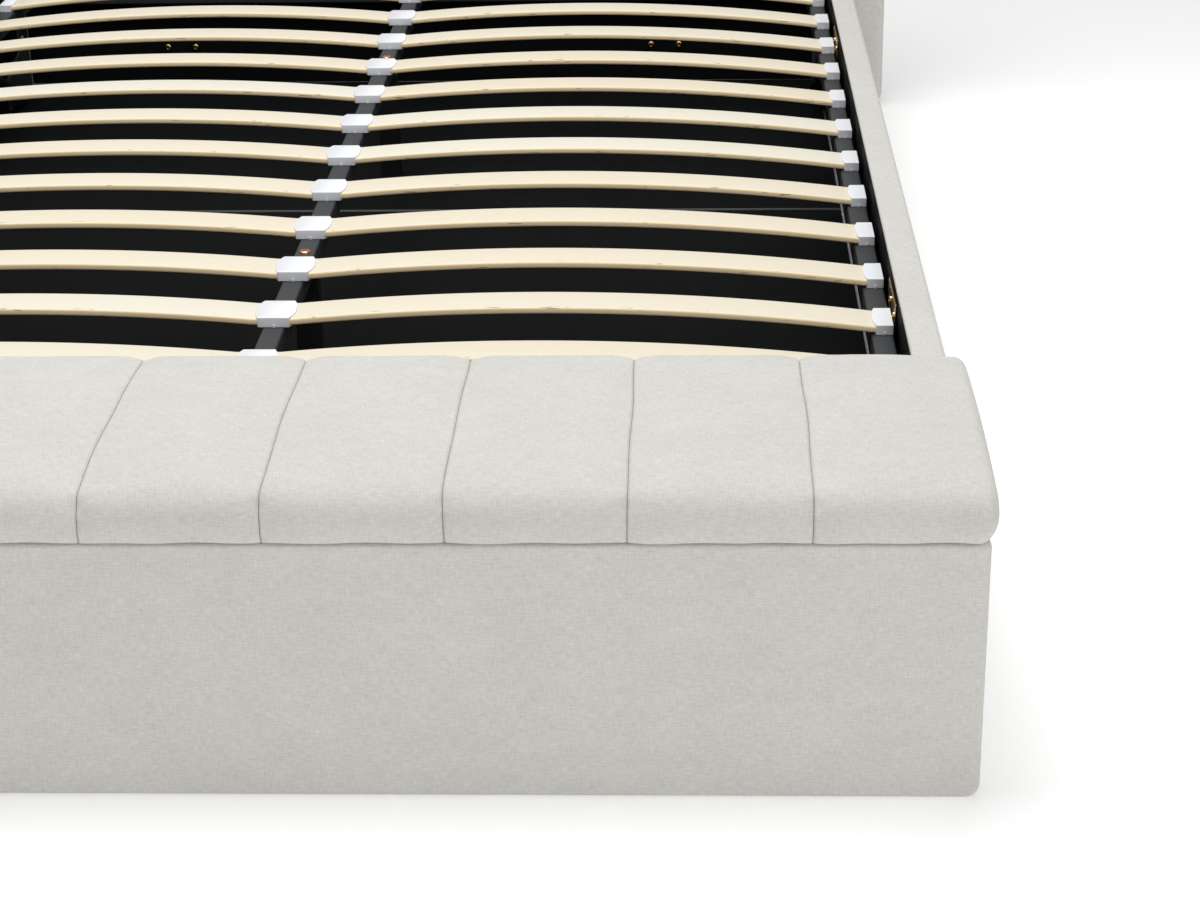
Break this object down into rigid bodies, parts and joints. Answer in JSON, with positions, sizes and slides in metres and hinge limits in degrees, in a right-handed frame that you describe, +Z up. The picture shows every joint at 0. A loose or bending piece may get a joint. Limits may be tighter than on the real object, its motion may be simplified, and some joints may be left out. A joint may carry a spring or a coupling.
{
  "type": "ottoman bed",
  "caption": "Upholstered lift-up storage bed: sprung-slat platform on gas struts, padded channelled bench lid at the foot, tall headboard.",
  "frame": {"origin": "on the floor under the middle of the bed's overall box", "axes": "+Z up, +Y along the bed from the foot bench to the headboard, +X to the right as seen from the foot"},
  "size_m": [1.624, 2.421, 1.15],
  "materials": {
    "woven_fabric": "woven light warm grey upholstery",
    "black_lining": "matte black lining cloth on board",
    "birch": "pale laminated birch, satin",
    "dark_steel": "dark grey powder coat",
    "black_paint": "black paint, satin",
    "brass": "yellow zinc plated",
    "chrome": "polished",
    "strap_web": "black webbing",
    "plywood": "raw plywood",
    "white_plastic": "white moulded slat holders"
  },
  "bodies": {
    "base": {"side_rail_left": "woven_fabric", "side_rail_right": "woven_fabric", "bench_front_panel": "woven_fabric", "bench_back_panel": "woven_fabric", "bench_end_panel_left": "woven_fabric", "bench_end_panel_right": "woven_fabric", "headboard_panel": "woven_fabric", "headboard_cushion": "woven_fabric", "storage_floor_board_1": "black_lining", "storage_floor_board_2": "black_lining", "storage_floor_board_3": "black_lining", "bench_floor": "black_lining", "lift_bracket_left": "dark_steel", "lift_bracket_right": "dark_steel", "lid_hinge_fixed_leaf": "brass", "rest_bracket_foot_left": "brass", "rest_bracket_foot_right": "brass", "rest_bracket_head_left": "brass", "rest_bracket_head_right": "brass"},
    "platform": {"slat_left_01": "birch", "slat_left_02": "birch", "slat_left_03": "birch", "slat_left_04": "birch", "slat_left_05": "birch", "slat_left_06": "birch", "slat_left_07": "birch", "slat_left_08": "birch", "slat_left_09": "birch", "slat_left_10": "birch", "slat_left_11": "birch", "slat_left_12": "birch", "slat_right_01": "birch", "slat_right_02": "birch", "slat_right_03": "birch", "slat_right_04": "birch", "slat_right_05": "birch", "slat_right_06": "birch", "slat_right_07": "birch", "slat_right_08": "birch", "slat_right_09": "birch", "slat_right_10": "birch", "slat_right_11": "birch", "slat_right_12": "birch", "side_tube_left": "dark_steel", "side_tube_right": "dark_steel", "foot_tube": "dark_steel", "head_tube": "dark_steel", "centre_rail": "dark_steel", "centre_leg_foot": "black_paint", "centre_leg_head": "black_paint", "strut_lug_left": "dark_steel", "strut_lug_right": "dark_steel", "lift_strap": "strap_web"},
    "lid": {"lid_board": "plywood", "lid_cushion": "woven_fabric", "lid_hinge_moving_leaf": "brass"},
    "strut_cylinder_left": {"strut_cylinder_left": "black_paint"},
    "strut_rod_left": {"strut_rod_left": "chrome"},
    "strut_cylinder_right": {"strut_cylinder_right": "black_paint"},
    "strut_rod_right": {"strut_rod_right": "chrome"}
  },
  "joints": [
    {"name": "platform_hinge", "type": "hinge", "parent": "base", "child": "platform", "pos_m": [0, 1.0955, 0.2135], "axis": [-1, 0, 0], "range_deg": [0, 36]},
    {"name": "lid_hinge", "type": "hinge", "parent": "base", "child": "lid", "pos_m": [0, -0.8632, 0.263], "axis": [-1, 0, 0], "range_deg": [0, 85]},
    {"name": "strut_pivot_left", "type": "hinge", "parent": "base", "child": "strut_cylinder_left", "pos_m": [-0.685, 0.9955, 0.0745], "axis": [-1, 0, 0], "range_deg": [0, 35.01]},
    {"name": "strut_slide_left", "type": "slide", "parent": "strut_cylinder_left", "child": "strut_rod_left", "axis": [0, -0.9298, 0.3682], "range_m": [0, 0.10616]},
    {"name": "strut_pivot_right", "type": "hinge", "parent": "base", "child": "strut_cylinder_right", "pos_m": [0.685, 0.9955, 0.0745], "axis": [-1, 0, 0], "range_deg": [0, 35.01]},
    {"name": "strut_slide_right", "type": "slide", "parent": "strut_cylinder_right", "child": "strut_rod_right", "axis": [0, -0.9298, 0.3682], "range_m": [0, 0.10616]}
  ],
  "couplings": [
    {"joint": "strut_pivot_left", "follows": "platform_hinge", "ratio": 0.96964},
    {"joint": "strut_slide_left", "follows": "platform_hinge", "m_per_rad": 0.16815},
    {"joint": "strut_pivot_right", "follows": "platform_hinge", "ratio": 0.96964},
    {"joint": "strut_slide_right", "follows": "platform_hinge", "m_per_rad": 0.16815}
  ]
}
